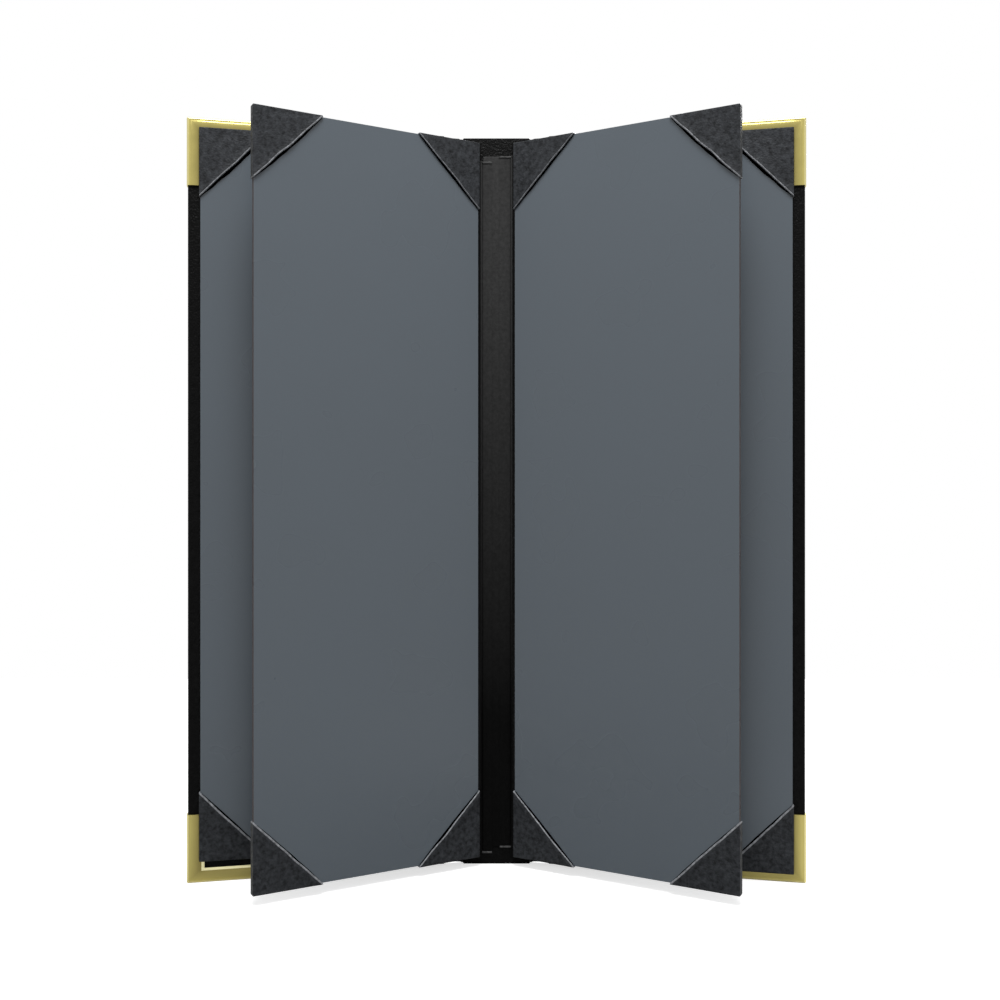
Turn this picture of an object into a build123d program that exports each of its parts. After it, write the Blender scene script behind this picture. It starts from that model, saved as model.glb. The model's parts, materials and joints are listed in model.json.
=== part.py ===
from build123d import *
import math
import os

# A booklet menu cover, standing open on its lower edge and seen from its inside.
# X runs across the open cover, Y from the reader to the back, Z up, in millimetres and degrees.
# The origin is on the floor, under the middle of the cover's bounding box.

# Driving dimensions
CASE_HEIGHT = 370.0  # floor to top, over the metal corners
COVER_ANGLE = 12.0  # how far each cover is turned towards the reader
LEAF_ANGLE = 28.4  # how far each leaf is turned towards the reader
SPINE_HINGE_X = 18.5  # from the middle to each hinge line of the spine
GUTTER_WIDTH = 7.0  # from the spine's hinge line to the cover's
COVER_WIDTH = 127.1  # from the cover's hinge line to its outer edge
LEAF_HINGE_X = 7.6
LEAF_HINGE_RISE = 2.2  # from the spine's lining to the leaf's hinge line
LEAF_WIDTH = 118.0  # from the leaf's hinge line to its outer edge
LEAF_FOOT = 5.0  # from the floor to the leaf
PAD_WIDTH = 116.1
PAD_TOP_MARGIN = 5.3
PAD_OUTER_MARGIN = 5.4
PAD_FOOT = {"left": 10.7, "right": 4.6}  # the left pad ends higher above the floor
FLAP_FOOT = {"left": 5.7, "right": 8.5}
FLAP_HEIGHT = 351.0

# Sheet thicknesses
SKIN = 0.6  # leatherette
COVER_BOARD = 2.2
METAL = 0.5
PAD_BOARD = 2.0
LEAF_BOARD = 1.6
FACING = 0.3
SLOT = 0.35  # room for a menu sheet between a facing and a pocket
HEM = 0.3  # extra thickness of a pocket's folded edge
UNDERLAP = 0.4  # the part of a pad's pocket that is glued behind the pad
FLAP = 0.8

# Details
HINGE_GAP = 0.3
TURN_IN = 15.0  # width of the wrap's turned-in margin
EDGE_FILLET = 0.7
SPINE_TOP_DROP = 1.0
POCKET_LEG = 34.0
HEM_WIDTH = 3.0
CORNER_LEG = 33.0
CORNER_FLANGE = 8.4  # width of a metal corner's upright arm
CORNER_BASE = 7.0  # height of its level arm
SHOULDER = 0.6  # from a hinge's clearance to the thick part of a board
FLAP_INNER_X = 0.15
FLAP_BEND_X = 6.4

# Levels across the case, measured from its hinge lines, with the outside at +Y
HINGE_RADIUS = SKIN
OUTER_Y = SKIN
BOARD_IN_Y = -COVER_BOARD
INNER_Y = BOARD_IN_Y - SKIN
STRIP_START = HINGE_RADIUS + HINGE_GAP
CASE_SPAN = (METAL, CASE_HEIGHT - METAL)
SPINE_SPAN = (0.0, CASE_HEIGHT - SPINE_TOP_DROP)
LEAF_SPAN = (LEAF_FOOT, CASE_HEIGHT - LEAF_FOOT)


def block(x_span, y_span, z_span):
    """A box from three spans of coordinates."""
    spans = (x_span, y_span, z_span)
    middle = [(low + high) / 2 for low, high in spans]
    size = [high - low for low, high in spans]
    return Pos(*middle) * Box(*size)


def upright(points, z_span):
    """A prism that stands on an outline in the XY plane."""
    outline = Pos(0, 0, z_span[0]) * make_face(Polyline(*points, close=True))
    return extrude(outline, amount=z_span[1] - z_span[0], dir=(0, 0, 1))


def facing_prism(points, y_span):
    """A prism whose outline is in the XZ plane and whose thickness lies along Y."""
    outline = Plane.XZ.offset(-y_span[1]) * make_face(Polyline(*points, close=True))
    return extrude(outline, amount=y_span[1] - y_span[0], dir=(0, -1, 0))


def bead(x, y, radius, z_span):
    """An upright round bar."""
    height = z_span[1] - z_span[0]
    return Pos(x, y, (z_span[0] + z_span[1]) / 2) * Cylinder(radius, height)


def shrink(span, margin):
    return (span[0] + margin, span[1] - margin)


def spine_parts():
    """The stiffened strip that both covers and both leaves hang on."""
    edge = SPINE_HINGE_X - STRIP_START - SHOULDER
    core = edge - SKIN
    body = block((-edge, edge), (INNER_Y, OUTER_Y), SPINE_SPAN)
    body += block((-SPINE_HINGE_X, SPINE_HINGE_X), (-HINGE_RADIUS, HINGE_RADIUS), SPINE_SPAN)
    for side in (-1, 1):
        body += bead(side * SPINE_HINGE_X, 0, HINGE_RADIUS, SPINE_SPAN)
    board = block((-core, core), (BOARD_IN_Y, 0), shrink(SPINE_SPAN, SKIN))
    reach = SPINE_HINGE_X + HINGE_RADIUS
    inner_half = block((-reach, reach), (INNER_Y, 0), shrink(SPINE_SPAN, TURN_IN))
    lining = (body & inner_half) - board
    wrap = body - board - lining
    return {"spine_board": board, "spine_wrap": wrap, "spine_lining": lining}


def hinge_flap(side):
    """The leatherette strip, glued to the spine, that a leaf hangs on, for the right-hand leaf."""
    z_span = (FLAP_FOOT[side], FLAP_FOOT[side] + FLAP_HEIGHT)
    glue_y = INNER_Y
    mid_y = glue_y - FLAP / 2
    axis_y = glue_y - LEAF_HINGE_RISE
    run = math.hypot(LEAF_HINGE_X - FLAP_BEND_X, axis_y - mid_y)
    normal_x = (mid_y - axis_y) / run * FLAP / 2
    normal_y = (LEAF_HINGE_X - FLAP_BEND_X) / run * FLAP / 2
    flap = block((FLAP_INNER_X, FLAP_BEND_X), (glue_y - FLAP, glue_y), z_span)
    flap += upright(
        [
            (FLAP_BEND_X + normal_x, mid_y + normal_y),
            (LEAF_HINGE_X + normal_x, axis_y + normal_y),
            (LEAF_HINGE_X - normal_x, axis_y - normal_y),
            (FLAP_BEND_X - normal_x, mid_y - normal_y),
        ],
        z_span,
    )
    flap += bead(FLAP_BEND_X, mid_y, FLAP / 2, z_span)
    flap += bead(LEAF_HINGE_X, axis_y, FLAP, z_span)
    return flap


def gutter_parts():
    """The flexible strip between the spine and a cover, from its own hinge line outwards."""
    strip = block((STRIP_START, GUTTER_WIDTH), (-HINGE_RADIUS, HINGE_RADIUS), CASE_SPAN)
    strip += bead(GUTTER_WIDTH, 0, HINGE_RADIUS, CASE_SPAN)
    inner_half = block((0, 2 * GUTTER_WIDTH), (-HINGE_RADIUS, 0), shrink(CASE_SPAN, TURN_IN))
    lining = strip & inner_half
    return {"gutter_skin": strip - lining, "gutter_lining": lining}


def cover_slab(grow):
    """The cover's thick part with rounded outer edges, grown on every side by a margin."""
    start = STRIP_START + SHOULDER
    y_span = (INNER_Y - grow, OUTER_Y + grow)
    z_span = (CASE_SPAN[0] - grow, CASE_SPAN[1] + grow)
    slab = block((start, COVER_WIDTH + grow), y_span, z_span)
    rounded = slab.edges() - slab.faces().sort_by(Axis.X)[0].edges()
    return fillet(rounded, EDGE_FILLET + grow)


def cover_parts():
    """One cover: its board, the leatherette wrapped over its edges, and the lining inside."""
    start = STRIP_START + SHOULDER
    body = cover_slab(0)
    body += block((STRIP_START, 2 * start), (-HINGE_RADIUS, HINGE_RADIUS), CASE_SPAN)
    board_span = shrink(CASE_SPAN, SKIN)
    board = block((start + SKIN, COVER_WIDTH - SKIN), (BOARD_IN_Y, 0), board_span)
    window = block((0, COVER_WIDTH - TURN_IN), (INNER_Y, 0), shrink(CASE_SPAN, TURN_IN))
    lining = (body & window) - board
    wrap = body - board - lining
    return {"cover_board": board, "cover_wrap": wrap, "cover_lining": lining}


def metal_corner(at_top):
    """An L-shaped metal corner, folded over both faces of the cover and around its edges."""
    reach = COVER_WIDTH + METAL
    y_span = (INNER_Y - METAL, OUTER_Y + METAL)
    if at_top:
        edge_z = CASE_HEIGHT
        inward = -1
    else:
        edge_z = 0.0
        inward = 1
    along = sorted((edge_z, edge_z + inward * CORNER_LEG))
    across = sorted((edge_z, edge_z + inward * CORNER_BASE))
    outline = block((reach - CORNER_FLANGE, reach), y_span, along)
    outline += block((reach - CORNER_LEG, reach), y_span, across)
    return (cover_slab(METAL) & outline) - cover_slab(0)


def corner_points(corner, inward, leg, inset=0.0, extra=0.0):
    """A right-angled triangle in a corner, with its two short sides drawn in by an inset."""
    x = corner[0] + inward[0] * inset
    z = corner[1] + inward[1] * inset
    length = leg - 2 * inset + extra
    return [(x, z), (x + inward[0] * length, z), (x, z + inward[1] * length)]


def hem_points(corner, inward, leg):
    """The band along a pocket's long side."""
    step = HEM_WIDTH * math.sqrt(2)
    near = leg - step
    return [
        (corner[0] + inward[0] * leg, corner[1]),
        (corner[0], corner[1] + inward[1] * leg),
        (corner[0], corner[1] + inward[1] * near),
        (corner[0] + inward[0] * near, corner[1]),
    ]


def pocket(corner, inward, y_span, hollow_span, hem_spans):
    """A corner pocket: a folded triangle of leatherette with an open long side."""
    solid = facing_prism(corner_points(corner, inward, POCKET_LEG), y_span)
    solid -= facing_prism(
        corner_points(corner, inward, POCKET_LEG, SKIN, 4 * SKIN), hollow_span
    )
    for span in hem_spans:
        solid += facing_prism(hem_points(corner, inward, POCKET_LEG), span)
    return solid


def four_corners(x_span, z_span):
    """Name, place and inward direction of the corners of an upright rectangle."""
    for z_name, z, z_way in (("top", z_span[1], -1), ("bottom", z_span[0], 1)):
        for x_name, x, x_way in (("outer", x_span[1], -1), ("inner", x_span[0], 1)):
            yield f"{z_name}_{x_name}", (x, z), (x_way, z_way)


def pad_parts(side):
    """The pad inside a cover: a board, its facing and four corner pockets."""
    outer = COVER_WIDTH - PAD_OUTER_MARGIN
    x_span = (outer - PAD_WIDTH, outer)
    z_span = (PAD_FOOT[side], CASE_HEIGHT - PAD_TOP_MARGIN)
    board_front = INNER_Y - PAD_BOARD
    facing_front = board_front - FACING
    sheet_back = facing_front - SLOT
    sheet_front = sheet_back - SKIN
    board = block(shrink(x_span, SKIN), (board_front, INNER_Y), shrink(z_span, SKIN))
    parts = {}
    for name, corner, inward in four_corners(x_span, z_span):
        if name.endswith("outer"):
            glue_y = INNER_Y - METAL
        else:
            glue_y = INNER_Y
        under_front = glue_y - UNDERLAP
        parts[f"pad_pocket_{name}"] = pocket(
            corner,
            inward,
            (sheet_front, glue_y),
            (sheet_back, under_front),
            [(sheet_front - HEM, sheet_front)],
        )
        triangle = corner_points(corner, inward, POCKET_LEG)
        board -= facing_prism(triangle, (under_front, INNER_Y))
    board -= metal_corner(True)
    board -= metal_corner(False)
    parts["pad_board"] = board
    facing_span = (facing_front, board_front)
    parts["pad_facing"] = block(shrink(x_span, SKIN), facing_span, shrink(z_span, SKIN))
    return parts


def leaf_parts():
    """One double-sided leaf, from its hinge line outwards."""
    half_board = LEAF_BOARD / 2
    half_leaf = half_board + FACING
    sheet_in = half_leaf + SLOT
    sheet_out = sheet_in + SKIN
    tab_start = FLAP + HINGE_GAP
    pocket_start = tab_start + FLAP
    x_span = (pocket_start, LEAF_WIDTH)
    core_x = shrink(x_span, SKIN)
    core_z = shrink(LEAF_SPAN, SKIN)
    parts = {
        "leaf_core": block(core_x, (-half_board, half_board), core_z),
        "leaf_front_facing": block(core_x, (-half_leaf, -half_board), core_z),
        "leaf_back_facing": block(core_x, (half_board, half_leaf), core_z),
    }
    for name, corner, inward in four_corners(x_span, LEAF_SPAN):
        parts[f"leaf_pocket_{name}"] = pocket(
            corner,
            inward,
            (-sheet_out, sheet_out),
            (-sheet_in, sheet_in),
            [(-sheet_out - HEM, -sheet_out), (sheet_out, sheet_out + HEM)],
        )
    tab = block((tab_start, pocket_start), (-half_leaf, half_leaf), LEAF_SPAN)
    tab += block(
        (pocket_start, pocket_start + SKIN),
        (-half_leaf, half_leaf),
        shrink(LEAF_SPAN, POCKET_LEG),
    )
    parts["leaf_hinge_edge"] = tab
    return parts


def right_side(side):
    """Every piece of one side but the spine's, standing in place as the right-hand side."""
    hinge = Pos(SPINE_HINGE_X, 0, 0) * Rot(0, 0, -COVER_ANGLE)
    cover_place = hinge * Pos(GUTTER_WIDTH, 0, 0)
    leaf_y = INNER_Y - LEAF_HINGE_RISE
    leaf_place = Pos(LEAF_HINGE_X, leaf_y, 0) * Rot(0, 0, -LEAF_ANGLE)
    cover = cover_parts()
    cover.update(pad_parts(side))
    cover["metal_corner_top"] = metal_corner(True)
    cover["metal_corner_bottom"] = metal_corner(False)
    placed = {name: hinge * shape for name, shape in gutter_parts().items()}
    placed.update({name: cover_place * shape for name, shape in cover.items()})
    placed.update({name: leaf_place * shape for name, shape in leaf_parts().items()})
    placed["hinge_flap"] = hinge_flap(side)
    return placed


def whole_cover():
    parts = spine_parts()
    for side in ("left", "right"):
        for name, shape in right_side(side).items():
            if side == "left":
                shape = mirror(shape, about=Plane.YZ)
            parts[f"{side}_{name}"] = shape
    return parts


def print_places(shift_y):
    """The hinge lines of the right-hand side, in metres, for the part's description."""
    angle = math.radians(COVER_ANGLE)
    gutter_x = SPINE_HINGE_X + GUTTER_WIDTH * math.cos(angle)
    gutter_y = -GUTTER_WIDTH * math.sin(angle)
    leaf_y = INNER_Y - LEAF_HINGE_RISE
    lines = {
        "leaf hinge": (LEAF_HINGE_X, leaf_y),
        "spine hinge": (SPINE_HINGE_X, 0.0),
        "cover hinge": (gutter_x, gutter_y),
    }
    for name, (x, y) in lines.items():
        print(name, round(x / 1000, 7), round((y + shift_y) / 1000, 7))


def main():
    os.makedirs("parts", exist_ok=True)
    parts = whole_cover()
    boxes = [shape.bounding_box() for shape in parts.values()]
    front_y = min(box.min.Y for box in boxes)
    back_y = max(box.max.Y for box in boxes)
    shift_y = -(front_y + back_y) / 2
    for name, shape in parts.items():
        export_step(Pos(0, shift_y, 0) * shape, f"parts/{name}.step")
    print_places(shift_y)


main()
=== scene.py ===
import json
import math
from types import SimpleNamespace

import bmesh
import bpy
from mathutils import Matrix, Vector, noise


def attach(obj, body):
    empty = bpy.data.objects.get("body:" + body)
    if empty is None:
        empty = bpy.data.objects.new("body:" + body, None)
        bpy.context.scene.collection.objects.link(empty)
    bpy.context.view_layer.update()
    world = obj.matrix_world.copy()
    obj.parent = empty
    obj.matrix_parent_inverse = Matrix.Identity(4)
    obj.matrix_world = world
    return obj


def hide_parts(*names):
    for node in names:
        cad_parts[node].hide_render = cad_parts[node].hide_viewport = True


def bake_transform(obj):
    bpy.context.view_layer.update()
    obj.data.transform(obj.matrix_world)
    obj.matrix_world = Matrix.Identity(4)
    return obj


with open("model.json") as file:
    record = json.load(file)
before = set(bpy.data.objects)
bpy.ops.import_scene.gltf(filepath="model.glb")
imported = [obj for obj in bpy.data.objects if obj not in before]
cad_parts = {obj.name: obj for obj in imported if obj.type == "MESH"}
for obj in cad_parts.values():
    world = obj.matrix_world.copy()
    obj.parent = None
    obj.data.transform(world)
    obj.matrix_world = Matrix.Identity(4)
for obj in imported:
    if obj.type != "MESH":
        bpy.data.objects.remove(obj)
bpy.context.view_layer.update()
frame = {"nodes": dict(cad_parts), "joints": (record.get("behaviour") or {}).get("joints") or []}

bl_info = {
    "name": "Booklet menu cover",
    "version": (1, 0, 0),
    "blender": (4, 5, 0),
    "location": "View3D > Sidebar > Menu cover",
    "description": "Dresses a leatherette menu cover with hinged leaves, corner pockets and metal corners",
    "category": "Object",
}

SIDES = ("left", "right")
MM = 0.001

# The construction's sizes, in millimetres and degrees
COVER_ANGLE = 12.0
LEAF_ANGLE = 28.4
CASE_HEIGHT = 370.0
COVER_WIDTH = 127.1
GUTTER_WIDTH = 7.0
SKIN = 0.6
COVER_BOARD = 2.2
METAL = 0.5
SHOULDER_START = 1.5
LEAF_WIDTH = 118.0
LEAF_SPAN = (5.0, 365.0)
LEAF_HALF_BOARD = 0.8
FACING = 0.3
SLOT = 0.35
POCKET_START = 1.9
PAD_WIDTH = 116.1
PAD_OUTER_MARGIN = 5.4
PAD_TOP_MARGIN = 5.3
PAD_FOOT = {"left": 10.7, "right": 4.6}
PAD_BOARD = 2.0
FLAP_SPAN = {"left": (5.7, 356.7), "right": (8.5, 359.5)}
FLAP_THICKNESS = 0.8
FLAP_BEND_X = 7.5
STRIP_LAP = 2.3  # where the left-hand strip ends on the right-hand one
STRIP_DOUBLED = 1.75
STRIP_REACH = 6.6
# The hinge strips are painted lighter towards the head, as light from above, and darker at the foot, as shade
PAINTED_LIGHT_FROM = 75.0  # heights between which the strips turn paler
PAINTED_LIGHT_TO = 335.0
# The metal corners are painted darker inwards, as shade beside the pad, and their rims and bevel lighter, as
# highlights
INWARD_BLEND_FROM = 1.0  # distances from the outer edges between which the metal corners turn duller
INWARD_BLEND_TO = 6.0

# Levels across the case, measured from its hinge lines, with the outside at +Y
OUTER_Y = SKIN
INNER_Y = -COVER_BOARD - SKIN
CASE_SPAN = (METAL, CASE_HEIGHT - METAL)
SPINE_SPAN = (0.0, CASE_HEIGHT - 1.0)
SKIN_END_RADIUS = 0.5
CREASE_WIDTH = 0.55
CREASE_REACH = 3.0  # how far from a fold's line the skin is drawn finely
CREASE_STEP = 0.25
BEND_REACH = 0.9  # how far from a fold's line the skin begins to bend

# How finely a pocket is drawn along its long side, and round each folded edge
POCKET_STEPS = 22
POCKET_EDGE_STEPS = 4

# The photograph's view, found from the slopes of the leaves' and covers' edges
EYE_DISTANCE = 0.553  # from the leaves' hinge lines to the lens, in metres
EYE_HEIGHT = 0.185
FOCAL_PIXELS = 1092
FRAME_PIXELS = 1000
MIDDLE_PIXEL = 496.5  # the column where the cover's middle is seen
SENSOR_WIDTH = 36.0

# The stage, in metres and watts
FLOOR_CORNERS = ((-0.6, -0.25), (0.6, -0.25), (0.6, 0.6), (-0.6, 0.6))
FLOOR_GLOW = 0.66  # what the eye sees of the white room in the floor, besides its own colour
ROOM_LIGHT = (0.05, 0.62)  # the room's light on the cover, from below and from above
SOFT_BOX_SIZE = (0.5, 0.4)
SOFT_BOXES = (
    ("overhead soft box", (0.0, -0.5, 1.2), 10.0),
    ("rear soft box", (0.5, 0.9, 0.9), 14.0),
)
LIT_POINT = (0.0, 0.0, 0.2)


def size_property(name, description, millimetres):
    return bpy.props.FloatProperty(
        name=name, description=description, default=millimetres * MM, min=0.0, precision=5, subtype="DISTANCE"
    )


class MenuCoverSizes(bpy.types.PropertyGroup):
    """Sizes that the cover is dressed with."""

    pocket_leg: size_property("Pocket leg", "Length of a corner pocket along each edge", 34.0)
    pocket_edge_radius: size_property("Pocket edge radius", "Rounding where a pocket is folded over", 0.4)
    outer_gape: size_property("Outer pocket gape", "How far an outer pocket's long side stands off", 0.5)
    inner_gape: size_property("Inner pocket gape", "How far an inner pocket's long side stands off", 0.35)
    # How far the black sheet that paints the shadow under a pocket's lip shows
    outer_shadow_sheet: size_property("Outer pocket lining", "How far it shows below a top outer pocket", 1.1)
    other_shadow_sheet: size_property("Other pocket lining", "How far it shows at the other pockets", 0.45)
    roll_width: size_property("Rolled edge width", "Width of the swelling along a pocket's long side", 1.7)
    roll_height: size_property("Rolled edge height", "Extra thickness of that swelling", 0.35)
    lip_wander: size_property("Rolled edge wander", "How far that side strays from a straight line", 0.35)
    corner_leg: size_property("Metal corner leg", "Length of a metal corner along each edge", 33.0)
    corner_flange: size_property("Metal corner width", "Width of a metal corner's upright arm", 8.4)
    corner_base: size_property("Metal corner base", "Height of a metal corner's level arm", 7.0)
    corner_crown: size_property("Metal corner crown", "How far the flange's face is domed", 0.5)
    corner_line: size_property("Metal corner line", "Depth of the line pressed along its outer edge", 0.12)
    strip_fold: size_property("Hinge strip fold", "Height of the folded end of a hinge strip", 0.42)
    crease_depth: size_property("Crease depth", "Depth of the pressed groove along a fold", 0.22)
    grain: size_property("Leatherette grain", "Width of one pebble of the embossed grain", 0.9)


def colour_property(name, description, value):
    return bpy.props.StringProperty(name=name, description=description, default=value, maxlen=7)


class MenuCoverColours(bpy.types.PropertyGroup):
    """Colours, as sRGB hex values."""

    case: colour_property("Case", "Leatherette of the covers and spine", "#080808")
    pocket: colour_property("Pockets", "Leatherette of the corner pockets", "#333538")
    # A painted highlight along the pockets' lips
    painted_light: colour_property("Rubbed edge", "Leatherette where a pocket's edge is rubbed", "#8a8c90")
    # The hinge strips' colours are painted light and shade: dark at the foot and lighter at the head
    strip_shaded_foot: colour_property("Hinge strip, below", "Leatherette of the strips at the foot", "#080808")
    strip_lit_head: colour_property("Hinge strip, above", "The same, rubbed paler at the head", "#404040")
    # The fold colour is a painted highlight on the strips' folded ends
    strip_fold: colour_property("Hinge strip, fold", "The same, along the folded ends", "#545454")
    facing: colour_property("Facing", "Paper that faces the leaves and pads", "#5c656d")
    board: colour_property("Board", "Bare edge of the board", "#3f2f2b")
    # The metal corners' colours: the plating, painted shade beside the pad, and painted highlights on the
    # rims and inner bevel
    metal: colour_property("Metal corners", "Satin plating, bright by the outer edges", "#baae6a")
    metal_painted_shade: colour_property("Metal corners, inside", "The same, dulled beside the pad", "#8a7f4c")
    metal_rim_highlight: colour_property("Metal rims", "Plating where a corner's rims are rubbed bright", "#d2c88f")
    metal_bevel_highlight: colour_property("Metal bevel", "The same, along a corner's inner edge", "#ece4b4")
    # The lining colour paints the shadow under the pockets' lips
    lining: colour_property("Lining", "Cloth that lines the pockets", "#050505")
    floor: colour_property("Floor", "Paper that the cover stands on", "#e4e4e4")
    floor_bounce: colour_property("Floor's bounce", "What that paper throws back on the cover", "#404040")


def shown_properties(group):
    """Names of the properties that a user can change."""
    return [name for name in group.bl_rna.properties.keys() if name not in ("rna_type", "name")]


def chosen(context):
    """The sizes, as plain numbers in millimetres, and the colours."""
    group = context.scene.menu_cover_sizes
    sizes = {name: round(getattr(group, name) / MM, 5) for name in shown_properties(group)}
    return SimpleNamespace(**sizes), context.scene.menu_cover_colours


def linear(hex_colour):
    """An sRGB hex colour as a linear colour with alpha."""
    channels = [int(hex_colour[i:i + 2], 16) / 255 for i in (1, 3, 5)]
    linear_channels = [c / 12.92 if c <= 0.04045 else ((c + 0.055) / 1.055) ** 2.4 for c in channels]
    return (*linear_channels, 1.0)


def add_node(tree, kind, settings=None, links=None, output=0):
    """Adds a shader node of a kind and gives one of its outputs.

    Settings fill its sockets or properties, and links join other nodes' outputs to it.
    """
    node = tree.nodes.new(f"ShaderNode{kind}")
    for name, value in (settings or {}).items():
        if isinstance(name, int) or name in node.inputs:
            node.inputs[name].default_value = value
        else:
            setattr(node, name, value)
    for name, source in (links or {}).items():
        tree.links.new(source, node.inputs[name])
    return node.outputs[output]


def new_material(name):
    """An empty node material, with its Principled shader and a texture coordinate in metres."""
    material = bpy.data.materials.new(name)
    material.use_nodes = True
    tree = material.node_tree
    shader = tree.nodes["Principled BSDF"]
    return material, tree, shader, add_node(tree, "TexCoord", output="Object")


def join(tree, shader, sources):
    """Joins outputs to the shader's sockets of those names."""
    for name, source in sources.items():
        tree.links.new(source, shader.inputs[name])


def per_metre(size_mm):
    """A texture scale at which one feature is that wide."""
    return 1.0 / (size_mm * MM)


def tinted(tree, base_hex, amount, factor):
    """The colour, made lighter and darker by an amount where the factor is high and low."""
    base = linear(base_hex)[:3]
    dark, light = [(*[c * share for c in base], 1.0) for share in (1 - amount, 1 + amount)]
    return add_node(tree, "Mix", {"data_type": "RGBA", 6: dark, 7: light}, {0: factor}, 2)


def embossed_leatherette(name, hex_colour, grain_mm, depth_mm, roughness, gloss, mottle, head_hex=""):
    """Vinyl leatherette: a plastic coat on cloth, embossed with a fine pebble grain.

    The eye sees a near-black satin skin whose pebbles each catch a small, soft glint, in lighter
    and darker patches where the grain is deeper or has been rubbed flat. The grain is drawn about
    twice as coarse as the real one, so that it shows. A second colour, where one is given, is painted
    light: the skin turns to it between two heights, lighter towards the head of the cover.
    """
    material, tree, shader, place = new_material(name)
    pebbles = add_node(
        tree, "TexVoronoi",
        {"feature": "SMOOTH_F1", "Scale": per_metre(grain_mm), "Smoothness": 0.5, "Randomness": 0.95},
        {"Vector": place}, "Distance",
    )
    fold_scale = per_metre(grain_mm * 2.4)
    creases = add_node(
        tree, "TexNoise",
        {"Scale": fold_scale, "Detail": 5.0, "Roughness": 0.62, "Distortion": 0.5},
        {"Vector": place},
    )
    patches = add_node(
        tree, "TexNoise", {"Scale": fold_scale, "Detail": 5.0, "Roughness": 0.6}, {"Vector": place}
    )
    height = add_node(tree, "Math", {"operation": "MULTIPLY_ADD", 1: -1.1}, {0: creases, 2: pebbles})
    bump = add_node(
        tree, "Bump", {"Strength": 1.0, "Distance": depth_mm * MM, "invert": True}, {"Height": height}
    )
    shine = add_node(
        tree, "MapRange",
        {"From Min": 0.35, "From Max": 0.65, "To Min": roughness + 0.1, "To Max": roughness - 0.08},
        {"Value": patches},
    )
    patchy = add_node(tree, "MapRange", {"From Min": 0.3, "From Max": 0.7}, {"Value": patches})
    colour = tinted(tree, hex_colour, mottle, patchy)
    if head_hex:
        # Painted light: the colour turns lighter towards the head of the cover
        level = add_node(tree, "SeparateXYZ", {}, {0: place}, "Z")
        painted_light = add_node(
            tree, "MapRange", {"From Min": PAINTED_LIGHT_FROM * MM, "From Max": PAINTED_LIGHT_TO * MM}, {"Value": level}
        )
        head = tinted(tree, head_hex, mottle, patchy)
        colour = add_node(tree, "Mix", {"data_type": "RGBA"}, {0: painted_light, 6: colour, 7: head}, 2)
    join(tree, shader, {"Base Color": colour, "Roughness": shine, "Normal": bump})
    shader.inputs["IOR"].default_value = 1.5
    shader.inputs["Specular IOR Level"].default_value = gloss
    return material


def black_shadow_cloth(hex_colour):
    """A dead black woven sheet that paints the shadow under the pockets' lips.

    The eye sees a dead black with no shine, and close to, the fine square weave. The threads are
    drawn about twice as coarse as the real ones, so that they show.
    """
    material, tree, shader, place = new_material("black_shadow_cloth")
    warp, weft = [
        add_node(
            tree, "TexWave",
            {"bands_direction": axis, "Scale": per_metre(0.5) / 20, "Distortion": 0.6},
            {"Vector": place}, "Fac",
        )
        for axis in ("X", "Z")
    ]
    weave = add_node(tree, "Math", {"operation": "MULTIPLY"}, {0: warp, 1: weft})
    bump = add_node(tree, "Bump", {"Strength": 0.6, "Distance": 0.04 * MM}, {"Height": weave})
    join(tree, shader, {"Base Color": tinted(tree, hex_colour, 0.5, weave), "Normal": bump})
    shader.inputs["Roughness"].default_value = 1.0
    shader.inputs["Specular IOR Level"].default_value = 0.0
    return material


def laminated_facing(hex_colour):
    """Slate grey facing paper under a thin satin laminate.

    The eye sees an even grey with a faint cloudy fibre and a broad soft reflection, and the
    laminate is very slightly uneven, as film pressed on paper is.
    """
    material, tree, shader, place = new_material("laminated_facing_paper")
    fibre = add_node(
        tree, "TexNoise", {"Scale": per_metre(1.6), "Detail": 5.0, "Roughness": 0.65}, {"Vector": place}
    )
    cloud = add_node(tree, "TexNoise", {"Scale": per_metre(38.0), "Detail": 2.0}, {"Vector": place})
    mottle = add_node(tree, "Mix", {"data_type": "FLOAT", 0: 0.55}, {2: fibre, 3: cloud})
    bump = add_node(tree, "Bump", {"Strength": 0.25, "Distance": 0.02 * MM}, {"Height": fibre})
    gloss = add_node(
        tree, "MapRange",
        {"From Min": 0.3, "From Max": 0.7, "To Min": 0.26, "To Max": 0.32},
        {"Value": cloud},
    )
    colour = tinted(tree, hex_colour, 0.05, mottle)
    join(tree, shader, {"Base Color": colour, "Roughness": gloss, "Normal": bump})
    shader.inputs["IOR"].default_value = 1.5
    return material


def pressed_greyboard(hex_colour):
    """Binder's board: pressed waste paper, bare at its cut edge.

    The eye sees a dull red-brown edge with short fibres lying along the sheet.
    """
    material, tree, shader, place = new_material("pressed_greyboard")
    along_sheet = add_node(tree, "Mapping", {"Scale": (1.0, 1.0, 0.18)}, {"Vector": place})
    fibre = add_node(
        tree, "TexNoise",
        {"Scale": per_metre(0.7), "Detail": 4.0, "Roughness": 0.7},
        {"Vector": along_sheet},
    )
    bump = add_node(tree, "Bump", {"Strength": 0.6, "Distance": 0.08 * MM}, {"Height": fibre})
    join(tree, shader, {"Base Color": tinted(tree, hex_colour, 0.35, fibre), "Normal": bump})
    shader.inputs["Roughness"].default_value = 0.9
    shader.inputs["IOR"].default_value = 1.45
    return material


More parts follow.
